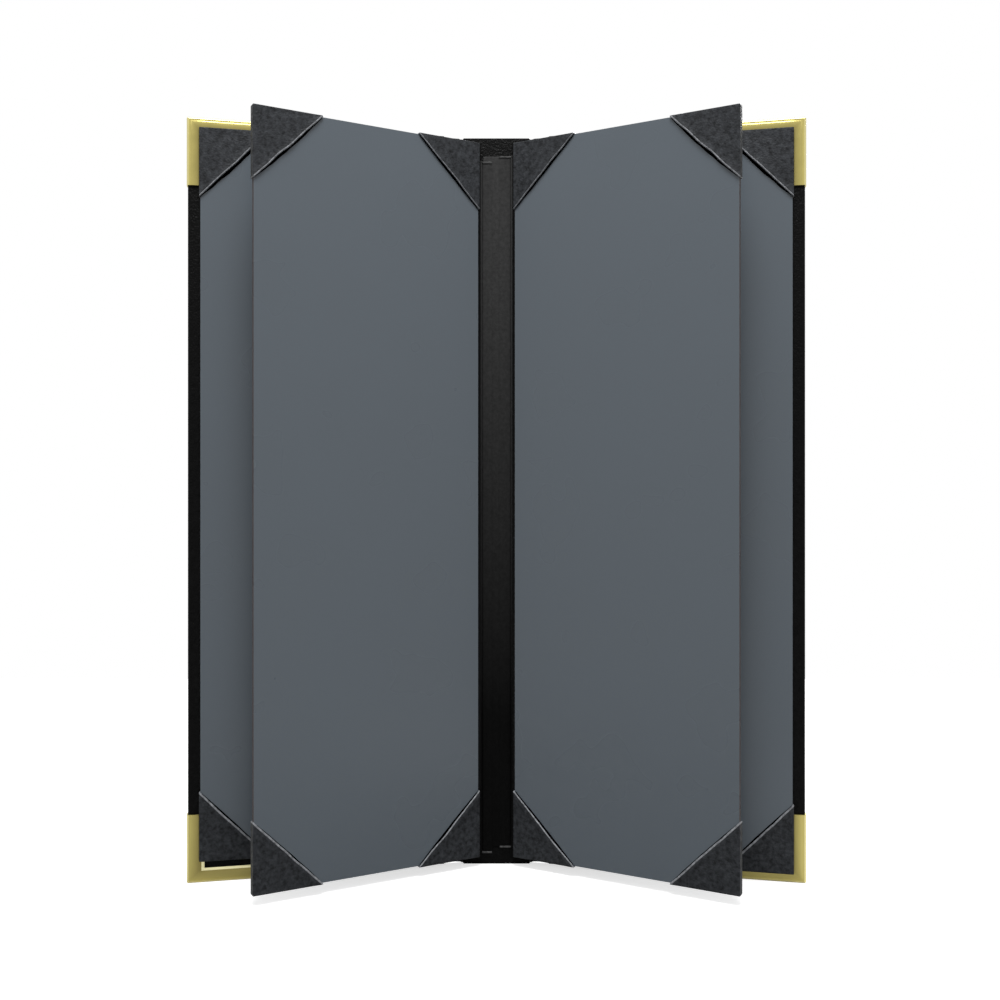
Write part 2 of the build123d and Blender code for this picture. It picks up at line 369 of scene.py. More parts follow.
def from_outer_edge(tree, place):
    """How far a point of a cover is from the nearest of its outer edges, in metres."""
    angle = math.radians(COVER_ANGLE)
    along = Vector((math.cos(angle), -math.sin(angle), 0.0))
    reach = joint_place("right_cover_fold").dot(along) + (COVER_WIDTH + METAL) * MM
    half_height = CASE_HEIGHT * MM / 2
    centre = (0.0, 0.0, half_height)
    centred = add_node(tree, "VectorMath", {"operation": "SUBTRACT", 1: centre}, {0: place})
    mirrored = add_node(tree, "VectorMath", {"operation": "ABSOLUTE"}, {0: centred})
    outwards = add_node(tree, "VectorMath", {"operation": "DOT_PRODUCT", 1: along}, {0: mirrored}, "Value")
    up_or_down = add_node(tree, "SeparateXYZ", {}, {0: mirrored}, "Z")
    from_side = add_node(tree, "Math", {"operation": "SUBTRACT", 0: reach}, {1: outwards})
    from_end = add_node(tree, "Math", {"operation": "SUBTRACT", 0: half_height}, {1: up_or_down})
    return add_node(tree, "Math", {"operation": "MINIMUM"}, {0: from_side, 1: from_end})


def brass_plated_steel(name, outer_edge_hex, inward_hex):
    """Thin stamped steel with a pale brass plating over a satin polish.

    The eye sees a pale lemon gold with faint clouds from fingers, painted lighter along the cover's
    outer edges and darker towards olive beside the pad as painted shade; rims and bevel are painted
    highlights.
    """
    material, tree, shader, place = new_material(name)
    handled = add_node(
        tree, "TexNoise", {"Scale": per_metre(7.0), "Detail": 3.0, "Roughness": 0.5}, {"Vector": place}
    )
    pressed = add_node(tree, "TexNoise", {"Scale": per_metre(2.5), "Detail": 2.0}, {"Vector": place})
    shine = add_node(
        tree, "MapRange",
        {"From Min": 0.35, "From Max": 0.65, "To Min": 0.28, "To Max": 0.36},
        {"Value": handled},
    )
    bump = add_node(tree, "Bump", {"Strength": 0.5, "Distance": 0.02 * MM}, {"Height": pressed})
    # Painted light and shade: the colour changes from the outer edges inwards, darker beside the pad
    inward_share = add_node(
        tree, "MapRange",
        {"From Min": INWARD_BLEND_FROM * MM, "From Max": INWARD_BLEND_TO * MM},
        {"Value": from_outer_edge(tree, place)},
    )
    painted_light, inward_colour = [tinted(tree, colour, 0.05, handled) for colour in (outer_edge_hex, inward_hex)]
    plating = add_node(tree, "Mix", {"data_type": "RGBA"}, {0: inward_share, 6: painted_light, 7: inward_colour}, 2)
    join(tree, shader, {"Base Color": plating, "Roughness": shine, "Normal": bump})
    shader.inputs["Metallic"].default_value = 1.0
    return material


def joint_place(name):
    for joint in frame["joints"]:
        if joint["name"] == name:
            return Vector(joint["pos_m"])
    raise RuntimeError(f"the frame has no joint named {name}")


def side_place(side, joint, angle):
    """From millimetres in a side's own axes, at a hinge line, to metres in the frame.

    The axes are those of the right-hand side, and the left-hand side is their mirror image.
    """
    hinge = joint_place(f"{side}_{joint}")
    mirror = Matrix.Scale(-1, 4, (1, 0, 0)) if side == "left" else Matrix.Identity(4)
    move = Matrix.Translation((abs(hinge.x), hinge.y, 0))
    turn = Matrix.Rotation(math.radians(-angle), 4, "Z")
    return mirror @ move @ turn @ Matrix.Scale(MM, 4)


def cover_place(side):
    return side_place(side, "cover_fold", COVER_ANGLE)


def leaf_place(side):
    return side_place(side, "leaf_turn", LEAF_ANGLE)


def new_piece(name, points, faces, place, materials, sharp_angle=40.0, marks=()):
    """A mesh piece from points in a side's own axes, closed, cleaned and turned outwards.

    The faces whose numbers are in marks get the second of its materials.
    """
    work = bmesh.new()
    vertices = [work.verts.new(place @ Vector(point)) for point in points]
    for number, face in enumerate(faces):
        work.faces.new([vertices[index] for index in face]).material_index = 1 if number in marks else 0
    bmesh.ops.remove_doubles(work, verts=work.verts, dist=0.002 * MM)
    bmesh.ops.dissolve_degenerate(work, edges=work.edges, dist=0.001 * MM)
    bmesh.ops.recalc_face_normals(work, faces=work.faces)
    for face in work.faces:
        face.smooth = True
    mesh = bpy.data.meshes.new(name)
    work.to_mesh(mesh)
    work.free()
    mesh.set_sharp_from_angle(angle=math.radians(sharp_angle))
    piece = bpy.data.objects.new(name, mesh)
    bpy.context.scene.collection.objects.link(piece)
    for material in materials:
        mesh.materials.append(material)
    return piece


def ring_faces(ring_count, ring_size):
    """Quads between rings that each run round a closed section."""
    faces = []
    for ring in range(ring_count - 1):
        for i in range(ring_size):
            j = (i + 1) % ring_size
            a = ring * ring_size
            b = a + ring_size
            faces.append((a + i, a + j, b + j, b + i))
    return faces


def closed_ring_faces(ring_count, ring_size):
    """The same quads, followed by a face over the first ring and one over the last."""
    last = (ring_count - 1) * ring_size
    ends = [tuple(range(ring_size)), tuple(range(last, last + ring_size))]
    return ring_faces(ring_count, ring_size) + ends


def arc(centre, radius, start, end, steps):
    """Points of an arc in the section plane, with its angles in degrees."""
    points = []
    for k in range(steps + 1):
        angle = math.radians(start + (end - start) * k / steps)
        points.append((centre[0] + radius * math.cos(angle), centre[1] + radius * math.sin(angle)))
    return points


def spread(low, high, step):
    """Evenly spaced numbers from low to high, both included."""
    count = max(1, math.ceil((high - low) / step))
    return [low + (high - low) * k / count for k in range(count + 1)]


def section_normals(section):
    """Outward directions at the points of a counter-clockwise section, lengthened at its corners."""
    normals = []
    count = len(section)
    for i, point in enumerate(section):
        before = Vector(point) - Vector(section[i - 1])
        after = Vector(section[(i + 1) % count]) - Vector(point)
        first = Vector((before.y, -before.x)).normalized()
        second = Vector((after.y, -after.x)).normalized()
        middle = (first + second).normalized()
        normals.append(middle / max(0.5, middle.dot(first)))
    return normals


def swept_up(section, z_span, cut_x):
    """Rings of a section that runs up Z, with softly rounded ends; points at cut_x stay in line."""
    normals = section_normals(section)
    radius = SKIN_END_RADIUS
    lower = [(z, inset) for inset, z in arc((radius, z_span[0] + radius), radius, 270, 180, 4)]
    upper = [(z_span[0] + z_span[1] - z, inset) for z, inset in reversed(lower)]
    points = []
    for z, inset in lower + upper:
        for point, normal in zip(section, normals):
            x = point[0] - normal.x * inset
            y = point[1] - normal.y * inset
            if abs(point[0] - cut_x) < 1e-6:
                x = point[0]
            points.append((x, y, z))
    return points, closed_ring_faces(2 * len(lower), len(section))


def creased(x, depth):
    """How deep the groove pressed along a fold is, at a distance x from the fold's line."""
    return depth * math.exp(-((x / CREASE_WIDTH) ** 2))


def cover_section(sizes):
    """A cover's skin across its width, from the middle of the gutter to the outer edge and back."""
    cut = -GUTTER_WIDTH / 2
    radius = 0.7
    outer = COVER_WIDTH - radius
    fine = [(x, creased(x, sizes.crease_depth)) for x in spread(cut, CREASE_REACH, CREASE_STEP)]
    coarse = spread(4.0, outer - 1.0, 6.0)
    section = [(x, depth - SKIN) for x, depth in fine if x < SHOULDER_START - 0.1]
    section += arc((SHOULDER_START + radius, INNER_Y + radius), radius, 180, 270, 4)
    section += [(x, INNER_Y) for x in coarse]
    section += arc((outer, INNER_Y + radius), radius, 270, 360, 4)
    section += arc((outer, OUTER_Y - radius), radius, 0, 90, 4)
    section += [(x, OUTER_Y) for x in reversed(coarse)]
    section += [(x, OUTER_Y - depth) for x, depth in reversed(fine)]
    return section, cut


def spine_section(sizes):
    """Half of the spine's skin, in axes at its hinge line, from the middle to half-way over the gutter."""
    cut = GUTTER_WIDTH / 2
    middle = -joint_place("right_gutter_fold").x / MM
    edge = -SHOULDER_START
    radius = 0.6
    coarse_step = 3.0
    depth = sizes.crease_depth
    section = [(middle, INNER_Y)]
    section += [(x, INNER_Y) for x in spread(middle + coarse_step, edge - 2.0, coarse_step)]
    section += arc((edge - radius, INNER_Y + radius), radius, 270, 360, 4)
    section += [(x, creased(x, depth) - SKIN) for x in spread(edge + 0.35, cut, CREASE_STEP)]
    section += [(x, OUTER_Y - creased(x, depth)) for x in reversed(spread(-CREASE_REACH, cut, CREASE_STEP))]
    section += [(x, OUTER_Y) for x in reversed(spread(middle + coarse_step, -4.0, coarse_step))]
    section.append((middle, OUTER_Y))
    return section, cut, middle


def spine_half(side, sizes, material):
    place = side_place(side, "gutter_fold", 0.0)
    section, cut, middle = spine_section(sizes)
    points, faces = swept_up(section, SPINE_SPAN, cut)
    # The gutter's half of the section is turned with the cover, about the hinge line
    bent = []
    for x, y, z in points:
        # Where the two halves meet, the rounding of their ends stays in the middle plane
        if abs(x - middle) < 0.6:
            x = middle
        share = smooth_step(x, -BEND_REACH, BEND_REACH)
        low, high = [spine + (gutter - spine) * share for spine, gutter in zip(SPINE_SPAN, CASE_SPAN)]
        ratio = (z - SPINE_SPAN[0]) / (SPINE_SPAN[1] - SPINE_SPAN[0])
        turn = Matrix.Rotation(math.radians(-COVER_ANGLE) * share, 3, "Z")
        bent.append(turn @ Vector((x, y, low + (high - low) * ratio)))
    piece = new_piece(f"{side}_spine_skin", bent, faces, place, [material])
    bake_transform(piece)
    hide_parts(f"{side}_gutter_skin", f"{side}_gutter_lining", "spine_wrap", "spine_lining")


def cover_skin(side, sizes, material):
    place = cover_place(side)
    section, cut = cover_section(sizes)
    points, faces = swept_up(section, CASE_SPAN, cut)
    piece = new_piece(f"{side}_cover_skin", points, faces, place, [material])
    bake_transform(piece)
    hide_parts(f"{side}_cover_wrap", f"{side}_cover_lining")


def strip_section(side):
    """Section of a leaf's hinge strip, in axes at the leaf's hinge.

    Also says how many of its points face the reader, and how many of those lie flat on the spine.
    The right-hand strip is glued down first, across the whole spine, and is doubled near its leaf.
    The left-hand one lies on it.
    """
    hinge_x = joint_place("right_leaf_turn").x / MM
    rise = (joint_place("right_gutter_fold").y - joint_place("right_leaf_turn").y) / MM
    glue_y = rise + INNER_Y
    half = FLAP_THICKNESS / 2
    front = []
    back = []
    first = STRIP_LAP if side == "left" else -STRIP_REACH
    for x in spread(first, FLAP_BEND_X - 0.5, 0.6):
        if side == "left":
            front_y = glue_y - FLAP_THICKNESS
            back_y = glue_y - half * (1 - smooth_step(x, STRIP_REACH, STRIP_REACH + 0.2))
        else:
            front_y = glue_y - half - half * smooth_step(x, STRIP_DOUBLED - 0.3, STRIP_DOUBLED)
            back_y = glue_y
        front.append((x - hinge_x, front_y))
        back.append((x - hinge_x, back_y))
    flat_count = len(front)
    # By shares of the way from the spine up to the hinge line, and on over the leaf's edge by millimetres
    leaf_way = Vector((math.cos(math.radians(LEAF_ANGLE)), -math.sin(math.radians(LEAF_ANGLE))))
    bend = Vector((FLAP_BEND_X - hinge_x, glue_y - half))
    line = [bend.lerp(Vector((0, 0)), t) for t in (0.12, 0.3, 0.5, 0.7, 0.88)]
    line += [leaf_way * t for t in (0.1, 0.4, 0.7, 1.0, 1.35)]
    for k, point in enumerate(line):
        before = line[max(0, k - 1)]
        after = line[min(len(line) - 1, k + 1)]
        way = (after - before).normalized() * (0.6 * half if k < 5 else half)
        front.append((point.x + way.y, point.y - way.x))
        back.append((point.x - way.y, point.y + way.x))
    return front + list(reversed(back)), len(front), flat_count


def hinge_strip(side, sizes, materials):
    """The leatherette strip that a leaf swings on, glued to the spine and to the leaf's edge."""
    section, front_count, flat_count = strip_section(side)
    hinge_x = joint_place("right_leaf_turn").x / MM
    low, high = FLAP_SPAN[side]
    # Distances from the strip's end, and how much thinner the strip is there
    from_end = [(0.0, 0.18), (0.1, 0.06), (0.3, 0.0), (0.7, 0.0), (1.0, 0.0), (1.2, 0.0), (1.5, 0.0)]
    heights = [(low + z, inset, z) for z, inset in from_end]
    heights += [(low + (high - low) * k / 8, 0.0, 9.0) for k in range(1, 8)]
    heights += [(high - z, inset, z) for z, inset in reversed(from_end)]
    folded_from = STRIP_LAP if side == "left" else STRIP_DOUBLED

    def is_folded(x):
        return folded_from - 0.1 < x + hinge_x < FLAP_BEND_X

    normals = section_normals(section)
    points = []
    for z, inset, from_tip in heights:
        for i, (point, normal) in enumerate(zip(section, normals)):
            x = point[0] - normal.x * inset
            y = point[1] - normal.y * inset
            # The end of the strip is folded under, which makes a ridge about 1 mm wide across it
            if i < front_count and is_folded(x):
                y -= sizes.strip_fold * (1 - smooth_step(from_tip, 0.8, 1.3))
            points.append((x, y, z))
    size = len(section)
    faces = closed_ring_faces(len(heights), size)
    # The folded ends are painted paler, as a highlight along their ridge
    folded = [i for i in range(flat_count) if is_folded(section[i][0])]
    end_rows = [*range(4), *range(len(heights) - 5, len(heights) - 1)]
    marks = [row * size + i for row in end_rows for i in folded]
    place = side_place(side, "leaf_turn", 0.0)
    piece = new_piece(f"{side}_hinge_strip", points, faces, place, materials, marks=marks)
    # The strip bends between the spine's face and the leaf's edge
    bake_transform(piece)
    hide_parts(f"{side}_hinge_flap")


def row_shares(length, radius):
    """Places along a pocket's row, packed where the row goes round the folded edges."""
    reach = min(radius, 0.4 * length)
    turns = [math.pi / 2 * k / POCKET_EDGE_STEPS for k in range(POCKET_EDGE_STEPS + 1)]
    edge = [reach * (1 - math.cos(turn)) / length for turn in turns]
    first = edge[-1]
    middle = [first + (1 - 2 * first) * k / POCKET_STEPS for k in range(1, POCKET_STEPS)]
    return edge + middle + [1 - e for e in reversed(edge)]


def pocket_row(distance, inset, radius, shares):
    """Plan points of a row parallel to the pocket's long side, at a distance from the corner."""
    inner = distance - 2 * inset
    if inner >= radius:
        ends = ((inner, 0.0), (0.0, inner))
    else:
        # The row meets the rounded corner: s + t = inner on a circle about (radius, radius)
        half = inner / 2
        gap = math.sqrt(max(0.0, radius * radius / 2 - (half - radius) ** 2))
        ends = ((half + gap, half - gap), (half - gap, half + gap))
    (s0, t0), (s1, t1) = ends
    return [(s0 + (s1 - s0) * c + inset, t0 + (t1 - t0) * c + inset) for c in shares]


def edge_drop(s, t, inset, radius):
    """How far a folded surface falls off near the two outer edges."""
    a = max(0.0, radius - (s - inset))
    b = max(0.0, radius - (t - inset))
    return radius - math.sqrt(max(0.0, radius * radius - a * a - b * b))


def smooth_step(value, low, high):
    t = min(1.0, max(0.0, (value - low) / (high - low)))
    return t * t * (3 - 2 * t)


class PocketForm:
    """Shape of one corner pocket, as rings round its open sleeve, in its corner's own axes.

    s and t run inwards along the two edges, and y runs across, with the reader at -y. The seed and
    the last number of each noise only pick its pattern.
    """

    def __init__(self, sizes, front, back, seed, back_lift, name):
        self.sizes = sizes
        self.gape = sizes.outer_gape if name.endswith("outer") else sizes.inner_gape
        self.crest = 0.0 if name.startswith("top") else sizes.roll_width
        self.lip_rows = 2 if name.endswith("outer") else 1
        self.front = front
        self.back = back
        self.seed = seed
        self.back_lift = back_lift
        self.radius = min(sizes.pocket_edge_radius, (back - front) / 2)

    def lift(self, distance, share):
        """How far the sleeve stands open, most in the middle of its long side."""
        leg = self.sizes.pocket_leg
        across = (4 * share * (1 - share)) ** 1.2
        uneven = 1 + 0.22 * noise.noise(Vector((share * 5.0, self.seed, 3.7)))
        return self.gape * across * uneven * smooth_step(distance, 0.3 * leg, leg)

    def ripple(self, s, t, front_side):
        """Soft unevenness of the stretched skin, in waves about 7.5 and 2.4 mm wide."""
        broad = Vector((s / 7.5, t / 7.5, self.seed + (0 if front_side else 50)))
        fine = Vector((s / 2.4, t / 2.4, self.seed * 1.7 + 9))
        keep = smooth_step(min(s, t), 0.4, 3.0)
        return (0.15 * noise.noise(broad) + 0.05 * noise.noise(fine)) * keep

    def roll(self, distance, share):
        """The thick folded edge along the long side, which swells towards its lip."""
        from_lip = (self.sizes.pocket_leg - distance) / math.sqrt(2) - self.crest
        uneven = 1 + 0.5 * noise.noise(Vector((share * 17.0, self.seed, 8.1)))
        return self.sizes.roll_height * uneven * math.exp(-((from_lip / self.sizes.roll_width) ** 2))

    def wander(self, distance, share):
        """How far the long side strays from a straight line."""
        stray = noise.noise(Vector((share * 5.5, self.seed, 6.3))) * 4 * share * (1 - share)
        leg = self.sizes.pocket_leg
        return self.sizes.lip_wander * stray * smooth_step(distance, 0.8 * leg, leg)

    def ring(self, distance, thickness):
        """A ring of the outer surface, or of the inner one where a thickness is given."""
        radius = max(0.15, self.radius - thickness)
        length = distance - 2 * thickness
        shares = row_shares(max(length, 0.05), radius)
        front = []
        back = []
        for (s, t), share in zip(pocket_row(distance, thickness, radius, shares), shares):
            s += self.wander(distance, share)
            t += self.wander(distance, share)
            drop = edge_drop(s, t, thickness, radius)
            inside = 1 - drop / radius
            swell = self.lift(distance, share)
            if not thickness:
                swell += self.roll(distance, share)
            front_y = self.front + thickness + drop - (swell + self.ripple(s, t, True)) * inside
            back_y = self.back - thickness - drop
            if self.back_lift:
                back_y += (swell + self.ripple(s, t, False)) * inside
            front.append(Vector((s, t, front_y)))
            back.append(Vector((s, t, back_y)))
        walls = [
            [a + (b - a) * k / 3 for k in (1, 2)]
            for a, b in ((front[-1], back[-1]), (back[0], front[0]))
        ]
        return front + walls[0] + back[::-1] + walls[1]

    def rings(self):
        """The sleeve's rings, from outside to inside, and between which of them its lip gets a painted
        highlight.
        """
        leg = self.sizes.pocket_leg
        lip = (SKIN + self.sizes.roll_height) / 2
        first = self.radius * (2 - math.sqrt(2)) + 0.001
        last = leg - math.sqrt(2) * lip
        outer_rows = spread(first, last - 4.0, 1.3) + spread(last - 4.0, last, 0.45)[1:]
        outer_rows += [self.radius * 1.2, self.radius * 2]
        rings = [self.ring(row, 0.0) for row in sorted(outer_rows)]
        # The lip gets a painted highlight from a little inside it to the middle of its round edge
        painted_light = (len(rings) - self.lip_rows, len(rings) + 3)
        outer_lip = rings[-1]
        inner_lip = self.ring(last, SKIN)
        out = Vector((1, 1, 0)).normalized()
        for k in range(1, 8):
            angle = math.pi * k / 8
            rings.append([
                (a + b) / 2 + (a - b) / 2 * math.cos(angle) + out * (lip * math.sin(angle))
                for a, b in zip(outer_lip, inner_lip)
            ])
        inner_first = 2 * SKIN + max(0.15, self.radius - SKIN) * (2 - math.sqrt(2)) + 0.001
        for k in range(11):
            rings.append(self.ring(last + (inner_first - last) * k / 10, SKIN))
        return rings, painted_light


def mouth_shadow_sheet(name, sizes, face_y, seed, place, corner, inward, material):
    """A thin black sheet that paints the shadow under a pocket's lip, from inside its mouth to a little past
    it.
    """
    leg = sizes.pocket_leg
    shows = sizes.outer_shadow_sheet if "_top_outer" in name else sizes.other_shadow_sheet
    outwards = -1 if face_y < 0 else 1
    # It stops a little short of both ends of the mouth
    shares = spread(0.035, 0.965, 0.0195)
    rows = []
    # The painted shadow's outline across the mouth: below 0 is mm inside it, and above 0 a share of what
    # shows
    for reach, height in ((-2.5, 0.0), (-2.5, 0.1), (0.0, 0.1), (1.0, 0.08), (1.0, 0.0)):
        row = []
        for share in shares:
            swell = 4 * share * (1 - share)
            swell *= 1 + 0.35 * noise.noise(Vector((share * 9.0, seed, 2.9)))
            further = reach if reach < 0 else reach * shows * swell
            distance = leg + further * math.sqrt(2)
            s, t = distance * (1 - share), distance * share
            row.append((corner[0] + inward[0] * s, face_y + outwards * height, corner[1] + inward[1] * t))
        rows.append(row)
    points = [point for row in rows for point in row]
    size = len(shares)
    faces = []
    for k in range(len(rows)):
        a = k * size
        b = (k + 1) % len(rows) * size
        faces += [(a + i, a + i + 1, b + i + 1, b + i) for i in range(size - 1)]
    for end in (0, size - 1):
        faces.append(tuple(k * size + end for k in range(len(rows))))
    return new_piece(name, points, faces, place, [material], sharp_angle=60.0)


def pocket_piece(name, form, place, corner, inward, materials):
    rings, (first, last) = form.rings()
    size = len(rings[0])
    points = [(corner[0] + inward[0] * s, y, corner[1] + inward[1] * t) for ring in rings for s, t, y in ring]
    marks = range(first * size, last * size)
    return new_piece(
        name, points, ring_faces(len(rings), size), place, materials,
        sharp_angle=60.0, marks=marks,
    )


def four_corners(x_span, z_span):
    """Name, place and inward direction of the corners of an upright rectangle."""
    for z_name, z, z_way in (("top", z_span[1], -1), ("bottom", z_span[0], 1)):
        for x_name, x, x_way in (("outer", x_span[1], -1), ("inner", x_span[0], 1)):
            yield f"{z_name}_{x_name}", (x, z), (x_way, z_way)


def leaf_pockets(side, sizes, materials, lining):
    face = LEAF_HALF_BOARD + FACING
    half = face + SLOT + SKIN
    place = leaf_place(side)
    for k, (name, corner, inward) in enumerate(four_corners((POCKET_START, LEAF_WIDTH), LEAF_SPAN)):
        title = f"{side}_leaf_{name}"
        form = PocketForm(sizes, -half, half, 3.1 * k + (20 if side == "left" else 0), True, name)
        piece = pocket_piece(f"{title}_pocket", form, place, corner, inward, materials)
        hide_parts(f"{side}_leaf_pocket_{name}")
        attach(piece, f"{side}_leaf")
        # Black sheets paint the shadow under the pocket's lip, front and back
        for where, face_y in (("front", -face), ("back", face)):
            shadow_sheet = mouth_shadow_sheet(
                f"{title}_{where}_lining", sizes, face_y, 7.3 * k + face_y, place, corner, inward, lining
            )
            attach(shadow_sheet, f"{side}_leaf")


def pad_pockets(side, sizes, materials, lining):
    outer = COVER_WIDTH - PAD_OUTER_MARGIN
    x_span = (outer - PAD_WIDTH, outer)
    z_span = (PAD_FOOT[side], CASE_HEIGHT - PAD_TOP_MARGIN)
    face_y = INNER_Y - PAD_BOARD - FACING
    front = face_y - SLOT - SKIN
    place = cover_place(side)
    for k, (name, corner, inward) in enumerate(four_corners(x_span, z_span)):
        title = f"{side}_pad_{name}"
        back = INNER_Y - METAL if name.endswith("outer") else INNER_Y
        form = PocketForm(sizes, front, back, 5.7 * k + (40 if side == "left" else 60), False, name)
        piece = pocket_piece(f"{title}_pocket", form, place, corner, inward, materials)
        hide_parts(f"{side}_pad_pocket_{name}")
        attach(piece, f"{side}_cover")
        # A black sheet paints the shadow under the pocket's lip
        shadow_sheet = mouth_shadow_sheet(f"{title}_lining", sizes, face_y, 4.1 * k + 3, place, corner, inward, lining)
        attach(shadow_sheet, f"{side}_cover")


def corner_section(sizes):
    """Section of a metal corner: how far in from the outer edge, and the level across the case.

    Its face is domed, has a line pressed along its outer edge, and is rolled over that edge.
    """
    flange = sizes.corner_flange
    face = INNER_Y - METAL
    back = OUTER_Y + METAL
    roll = 0.9
    lip = 0.22
    crown_at = flange * 0.45
    line_at, line_width = 1.7, 0.45

    def crown(e):
        dome = sizes.corner_crown * max(0.0, 1 - ((e - crown_at) / (flange - crown_at)) ** 2)
        return dome - sizes.corner_line * math.exp(-(((e - line_at) / line_width) ** 2))

    levels = spread(roll, flange - 0.5, 0.25)
    section = [(flange, INNER_Y), (flange, face + lip)]
    section += arc((flange - lip, face + lip), lip, 0, -70, 4)[1:]
    section += [(e, face - crown(e)) for e in reversed(levels)]
    section += arc((roll, face - crown(roll) + roll), roll, -100, -180, 7)
    section += [(0.0, (face + back) / 2)]
    section += arc((roll, back + crown(roll) - roll), roll, 180, 100, 7)
    section += [(e, back + crown(e)) for e in levels]
    section += arc((flange - lip, back - lip), lip, 70, 0, 4)
    # The inside of the metal goes back round the cover's own rounded edge
    section += [(flange, OUTER_Y), (6.0, OUTER_Y), (3.0, OUTER_Y)]
    section += arc((METAL + 0.7, OUTER_Y - 0.7), 0.7, 90, 180, 3)
    section += arc((METAL + 0.7, INNER_Y + 0.7), 0.7, 180, 270, 3)
    section += [(3.0, INNER_Y), (6.0, INNER_Y)]
    return section


def metal_corner(side, at_top, sizes, materials):
    """A stamped metal corner: one section carried down one edge, round the corner and along the other."""
    section = corner_section(sizes)
    reach = COVER_WIDTH + METAL
    round_off = 0.9
    leg = sizes.corner_leg
    narrowing = (sizes.corner_base - round_off) / (sizes.corner_flange - round_off)

    def base(e):
        """The same place in the level arm, which is narrower."""
        return round_off + (e - round_off) * narrowing if e > round_off else e

    rings = []
    for along in spread(0.0, 1.0, 0.2)[:-1]:
        rings.append([(reach - e, y, leg + (max(base(e), round_off) - leg) * along) for e, y in section])
    for k in range(5):
        angle = math.radians(90 * k / 4)
        ring = []
        for e, y in section:
            inside = max(0.0, round_off - e)
            x = reach - max(e, round_off) + inside * math.cos(angle)
            z = max(base(e), round_off) - inside * math.sin(angle)
            ring.append((x, y, z))
        rings.append(ring)
    for along in spread(0.0, 1.0, 0.2)[1:]:
        rings.append([
            (reach - max(e, round_off) - (leg - max(e, round_off)) * along, y, base(e)) for e, y in section
        ])
    points = [(x, y, CASE_HEIGHT - z if at_top else z) for ring in rings for x, y, z in ring]
    size = len(section)
    faces = closed_ring_faces(len(rings), size)
    # The outer roll and the inner bevel get painted highlights
    bright = [e < 1.15 or e > sizes.corner_flange - 1.6 for e, y in section]
    bright_quads = [i for i in range(size) if bright[i] and bright[(i + 1) % size]]
    marks = [row * size + i for row in range(len(rings) - 1) for i in bright_quads]
    where = "top" if at_top else "bottom"
    title = f"{side}_{where}_metal_corner"
    piece = new_piece(
        title, points, faces, cover_place(side), materials, sharp_angle=38.0, marks=marks
    )
    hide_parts(f"{side}_metal_corner_{where}")
    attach(piece, f"{side}_cover")


def finish_node(name, material, edge_mm):
    """Gives a board or sheet that stays as it was built its material, and breaks its sharp edges."""
    node_object = frame["nodes"][name]
    node_object.data.materials.clear()
    node_object.data.materials.append(material)
    bevel = node_object.modifiers.new("softened edge", "BEVEL")
    bevel.width = edge_mm * MM
    bevel.segments = 2
    bevel.limit_method = "ANGLE"
    bevel.angle_limit = math.radians(50)


def case_leatherette(sizes, colours):
    """The leatherette of the case, made the first time it is asked for."""
    name = "case_vinyl_leatherette"
    if name in bpy.data.materials:
        return bpy.data.materials[name]
    return embossed_leatherette(
        name, colours.case, sizes.grain, depth_mm=0.18, roughness=0.4, gloss=0.06, mottle=0.7
    )


class MENUCOVER_OT_case(bpy.types.Operator):
    """Covers the two boards, the spine and the gutters with one run of leatherette"""

    bl_idname = "menucover.case"
    bl_label = "Case skins"

    def execute(self, context):
        sizes, colours = chosen(context)
        material = case_leatherette(sizes, colours)
        for side in SIDES:
            spine_half(side, sizes, material)
            cover_skin(side, sizes, material)
        return {"FINISHED"}


class MENUCOVER_OT_hinges(bpy.types.Operator):
    """Adds the leatherette strips that the leaves swing on"""

    bl_idname = "menucover.hinges"
    bl_label = "Hinge strips"

    def execute(self, context):
        sizes, colours = chosen(context)
        worn_grain = sizes.grain * 0.7
        # The strip is painted lighter towards its head, as light from above, and darker at its foot
        strip = embossed_leatherette(
            "strip_painted_light_leatherette", colours.strip_shaded_foot, worn_grain,
            depth_mm=0.04, roughness=0.6, gloss=0.04, mottle=0.2, head_hex=colours.strip_lit_head,
        )
        # The folded ends get a painted highlight
        fold = embossed_leatherette(
            "strip_fold_highlight_leatherette", colours.strip_fold, worn_grain,
            depth_mm=0.04, roughness=0.6, gloss=0.06, mottle=0.4,
        )
        for side in SIDES:
            hinge_strip(side, sizes, [strip, fold])
            finish_node(f"{side}_leaf_hinge_edge", case_leatherette(sizes, colours), 0.2)
        return {"FINISHED"}


class MENUCOVER_OT_pockets(bpy.types.Operator):
    """Adds the folded corner pockets of the leaves and pads"""

    bl_idname = "menucover.pockets"
    bl_label = "Corner pockets"

    def execute(self, context):
        sizes, colours = chosen(context)
        skin = embossed_leatherette(
            "pebbled_leatherette", colours.pocket, sizes.grain,
            depth_mm=0.12, roughness=0.5, gloss=0.14, mottle=0.7,
        )
        # A painted highlight along the pockets' lips
        painted_light = embossed_leatherette(
            "lip_highlight_leatherette", colours.painted_light, sizes.grain * 0.8,
            depth_mm=0.08, roughness=0.4, gloss=0.4, mottle=0.6,
        )
        # Black sheets that paint the shadows under the pockets' lips
        lining = black_shadow_cloth(colours.lining)
        for side in SIDES:
            leaf_pockets(side, sizes, [skin, painted_light], lining)
            pad_pockets(side, sizes, [skin, painted_light], lining)
        return {"FINISHED"}


